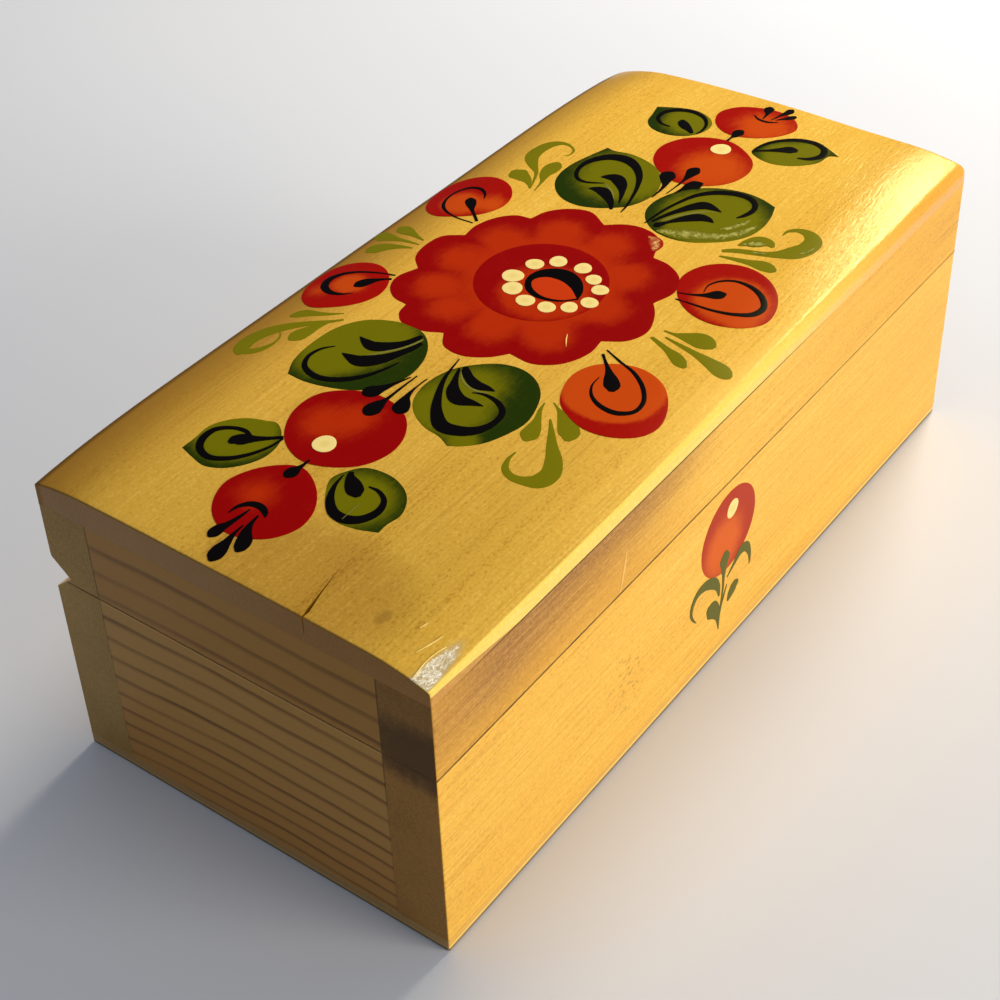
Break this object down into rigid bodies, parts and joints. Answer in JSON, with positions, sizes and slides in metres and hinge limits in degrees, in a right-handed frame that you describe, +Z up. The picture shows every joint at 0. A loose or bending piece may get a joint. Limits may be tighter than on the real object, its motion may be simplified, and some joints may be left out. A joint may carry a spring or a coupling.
{
  "type": "painted wooden box",
  "caption": "Oblong wooden keepsake box with a gently domed, flower-painted lid that swings on brass butt hinges set in a groove along its back.",
  "frame": {"origin": "middle of the underside of the bottom panel, on the surface that the box stands on", "axes": "+X along the length to the right, -Y to the front, +Y to the hinged back, +Z up"},
  "size_m": [0.2, 0.094, 0.0724],
  "materials": {
    "varnished_pine": "clear gloss varnish over pale pine",
    "varnished_top": "clear gloss varnish over pale wood, painted with flowers",
    "end_pine": "clear varnish over pine with dark growth rings",
    "bottom_plywood": "thin plywood, raw edge",
    "hinge_brass": "dulled brass",
    "screw_brass": "dulled brass"
  },
  "bodies": {
    "base": {"bottom_panel": "bottom_plywood", "base_front_wall": "varnished_pine", "base_back_wall": "varnished_pine", "base_left_end": "end_pine", "base_right_end": "end_pine", "left_hinge_base_leaf": "hinge_brass", "left_hinge_pin": "hinge_brass", "left_hinge_base_screws": "screw_brass", "right_hinge_base_leaf": "hinge_brass", "right_hinge_pin": "hinge_brass", "right_hinge_base_screws": "screw_brass"},
    "lid": {"lid_front_rail": "varnished_pine", "lid_back_rail": "varnished_pine", "lid_left_end": "end_pine", "lid_right_end": "end_pine", "lid_top_panel": "varnished_top", "left_hinge_lid_leaf": "hinge_brass", "left_hinge_lid_screws": "screw_brass", "right_hinge_lid_leaf": "hinge_brass", "right_hinge_lid_screws": "screw_brass"}
  },
  "joints": [
    {"name": "lid_hinge", "type": "hinge", "parent": "base", "child": "lid", "pos_m": [0, 0.04576, 0.0475], "axis": [-1, 0, 0], "range_deg": [0, 130]}
  ]
}
